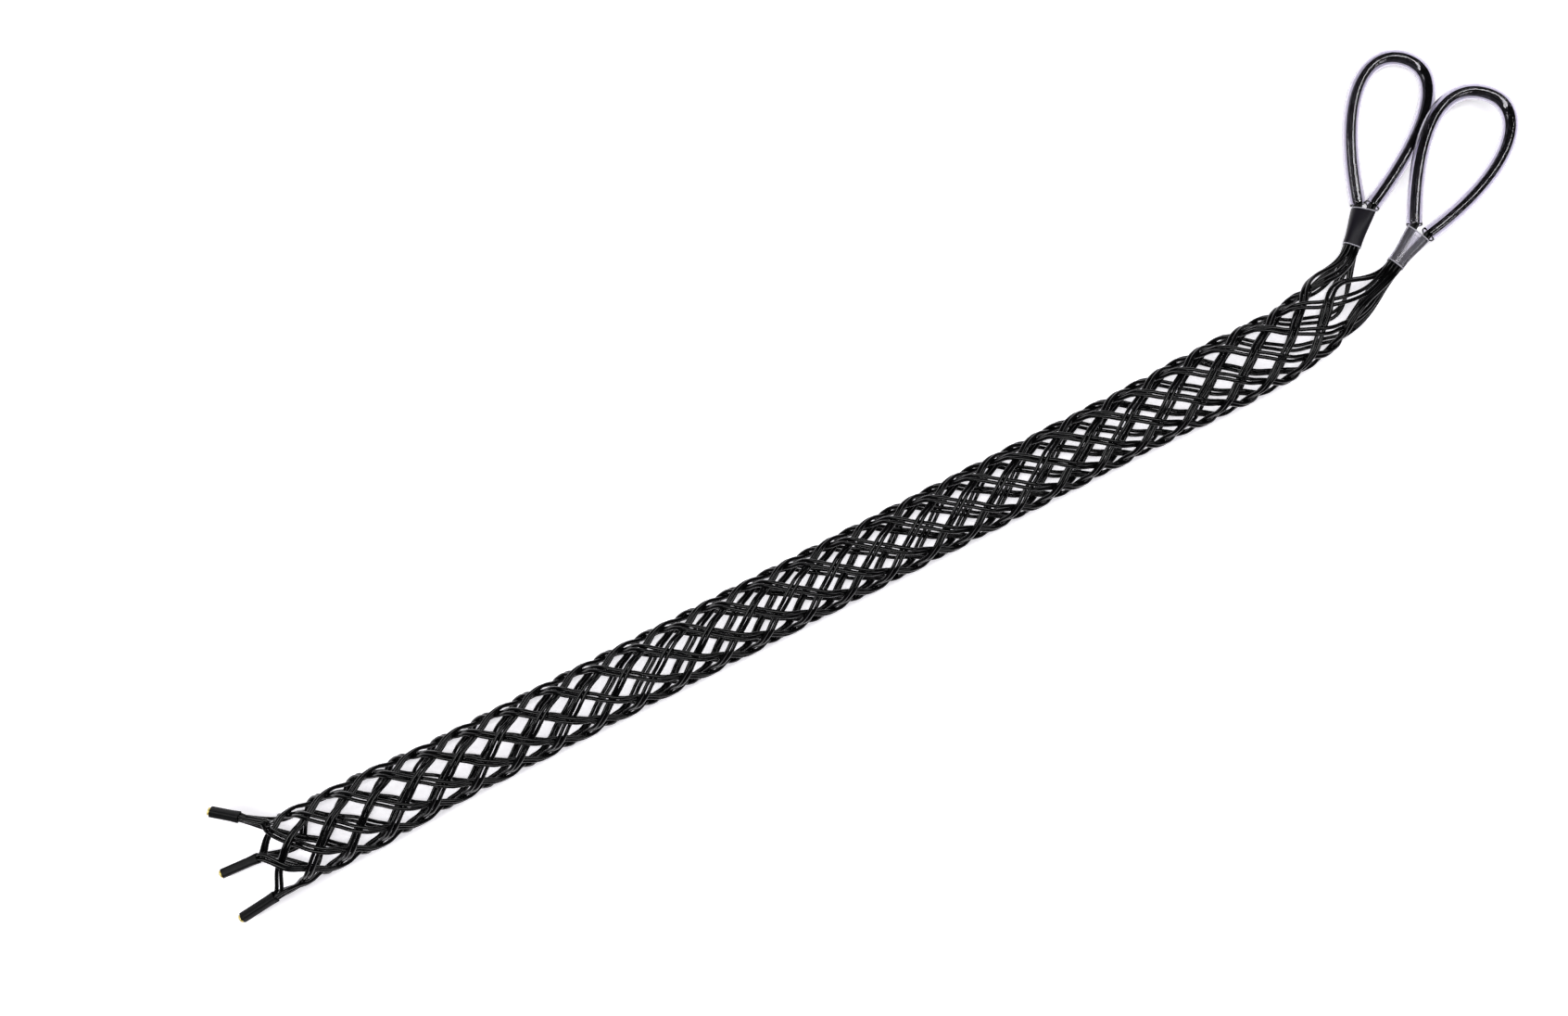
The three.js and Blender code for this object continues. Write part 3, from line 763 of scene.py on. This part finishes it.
def rim(middle, sideways, rising, outline, radius):
    """Thin closed ring of round section that follows an outline."""
    line = middle + outline[:, :1] * sideways + outline[:, 1:] * rising
    forward = np.cross(sideways, rising)
    tangent = unit(np.roll(line, -1, 0) - np.roll(line, 1, 0))
    away = np.cross(tangent, forward)
    turn = 2 * np.pi * np.arange(8) / 8
    ring = away[:, None] * np.cos(turn)[:, None] + forward * np.sin(turn)[:, None]
    points = line[:, None] + ring * radius
    points = np.concatenate([points, points[:1]])
    points, faces, uv, _ = grid_mesh(points, np.concatenate([line, line[:1]]), close=False)
    last = len(line) * 8
    return points[:last], np.where(faces >= last, faces - last, faces), uv, []


for eye, finish, slot in zip(EYES, (clear_shrink, smoked_shrink), ("clear_sleeve", "smoked_sleeve")):
    _, forward, right, parting, bottom, _ = eye_frame(eye)
    d = np.linspace(0, SLEEVE_LENGTH, NECK_ROWS)
    split = parted(d)[:, None]
    block = (1 - split) * right * LAYER_PITCH + split * parting * ARM_SPACING / 2
    aside, lifted = block @ right, block @ UP
    wide = aside + BLOCK_HALF[0] + NECK_ROOM
    thick = BLOCK_HALF[1] + NECK_ROOM + LIFT_THICKENING * lifted
    turn = 2 * np.pi * np.arange(NECK_SIDES) / NECK_SIDES
    outline = superellipse(turn, NECK_POWER) * np.stack([wide, thick], -1)[:, None]
    outline[..., 1] += outline[..., 0] * (LIFT_LEAN * lifted / aside)[:, None]
    parts = [shell(bottom + forward * d[:, None], right, UP, outline, NECK_WALL)]
    for end, middle in ((0, bottom), (-1, bottom + forward * SLEEVE_LENGTH)):
        grown = outline[end] * (1 + NECK_WALL / 2 / np.linalg.norm(outline[end], axis=-1, keepdims=True))
        parts.append(rim(middle, right, UP, grown, CUT_RIM_RADIUS))
    sleeve = add_mesh(f"sleeve_{eye['name']}", parts, [finish, rim_with_painted_highlight], [0, 1, 1])
    dress(sleeve, slot, f"neck_sleeve_{eye['name']}")
    print(eye["name"], "sleeve, width at its ends:", (2 * wide[[0, -1]] + 2 * NECK_WALL).round(1), "mm")

# %% [markdown]
# ## Tail sleeves and ferrules
#
# The sleeve grips a square bundle of four, so its section is a rounded square, and it keeps one width
# from the ferrule to the fork. The ferrule's brass end stands out of it by a millimetre.

# %% Tail sleeves and ferrules
TAIL_WALL = 0.4
TAIL_HALF = 2.3
TAIL_POWER, TAIL_SIDES = 4.2, 36
BRASS_SHOWN = 1.1
# The sleeve is stretched a little by the strands that part at its inner end
FORK_STRETCH, FORK_STRETCH_LENGTH = (0.25, 0.15), 5.0
BARREL_RADIUS, BARREL_BORE, BARREL_SIDES = 2.3, 1.75, 28
CRIMP_DEPTH, CRIMP_PITCH = 0.2, 4.6
for tail in TAILS:
    tip, axis, normal, across, length = tail_frame(tail)
    d = np.linspace(BRASS_SHOWN, length, 50)
    turn = 2 * np.pi * np.arange(TAIL_SIDES) / TAIL_SIDES
    fork = smooth((d - length) / FORK_STRETCH_LENGTH + 1)[:, None]
    half = TAIL_HALF + fork * np.array(FORK_STRETCH)
    outline = superellipse(turn, TAIL_POWER) * half[:, None]
    part = shell(tip + axis * d[:, None], -across, normal, outline, TAIL_WALL)
    sleeve = add_mesh(f"{tail[0]}_shrink", [part], [black_shrink])
    dress(sleeve, "tail_sleeve", f"{tail[0]}_sleeve")
    d = np.linspace(0, FERRULE_LENGTH, 43)
    crimp = CRIMP_DEPTH * (1 - np.cos(2 * np.pi * d / CRIMP_PITCH)) / 2
    crimp = crimp * smooth(d / 2) * smooth((FERRULE_LENGTH - d) / 2)
    part = wall(tip + axis * d[:, None], BARREL_RADIUS - crimp, BARREL_BORE - crimp, BARREL_SIDES)
    barrel = add_mesh(f"{tail[0]}_barrel", [part], [brass])
    dress(barrel, "ferrule", f"{tail[0]}_ferrule")
print("tails dressed:", len(TAILS))

# %% [markdown]
# ## Table and light
#
# The photograph is on a white table under broad soft light, with almost no shadow, and the black
# coating keeps its depth. A white sky would lay a grey veil on the strands, because a glossy round
# rod mirrors all of it. So the sky is dark, and a long narrow soft box overhead draws a thin bright line
# along every strand, whichever way it runs. A weaker one at each side adds a second line here and there.
# The table is a sheet of white acrylic lit from below too, as for pictures without shadows.

# %% Table
floor_material, tree, shader = material("lit_white_acrylic")
shader.inputs["Base Color"].default_value = linear("#f7f6f9")
shader.inputs["Roughness"].default_value = 0.8
shader.inputs["Specular IOR Level"].default_value = 0.0
shader.inputs["Emission Color"].default_value = linear("#fcfaff")
shader.inputs["Emission Strength"].default_value = 0.58
TABLE_HALF = 3.0
corners = [(x * TABLE_HALF, y * TABLE_HALF, 0) for x, y in ((-1, -1), (1, -1), (1, 1), (-1, 1))]
mesh = bpy.data.meshes.new("table")
mesh.from_pydata(corners, [], [(0, 1, 2, 3)])
mesh.materials.append(floor_material)
table = bpy.data.objects.new("table", mesh)
bpy.context.scene.collection.objects.link(table)

# %% Lights
bpy.context.scene.view_settings.view_transform = "Standard"
world = bpy.data.worlds.new("studio")
bpy.context.scene.world = world
world.use_nodes = True
sky = world.node_tree.nodes["Background"]
sky.inputs["Color"].default_value = linear("#ffffff")
sky.inputs["Strength"].default_value = 0.05


def area_light(name, place, size, power, aim=(0, 0, 0)):
    """A soft box of a length and width at a place in metres, turned to look at a point."""
    data = bpy.data.lights.new(name, "AREA")
    data.shape = "RECTANGLE"
    data.size, data.size_y = size
    data.energy = power
    light = bpy.data.objects.new(name, data)
    bpy.context.scene.collection.objects.link(light)
    away = np.array(place, float) - np.array(aim, float)
    light.location = place
    pitch = np.arctan2(np.hypot(away[0], away[1]), away[2])
    light.rotation_euler = (pitch, 0, np.arctan2(away[0], -away[1]))
    return light


area_light("soft_box_overhead", (0.0, 0.1, 1.7), (3.0, 0.3), 30, (0.0, 0.1, 0))
area_light("soft_box_left", (-0.9, 0.9, 1.3), (0.5, 0.5), 3)
area_light("soft_box_right", (1.1, -0.9, 1.4), (0.5, 0.5), 3)
print("lights placed")
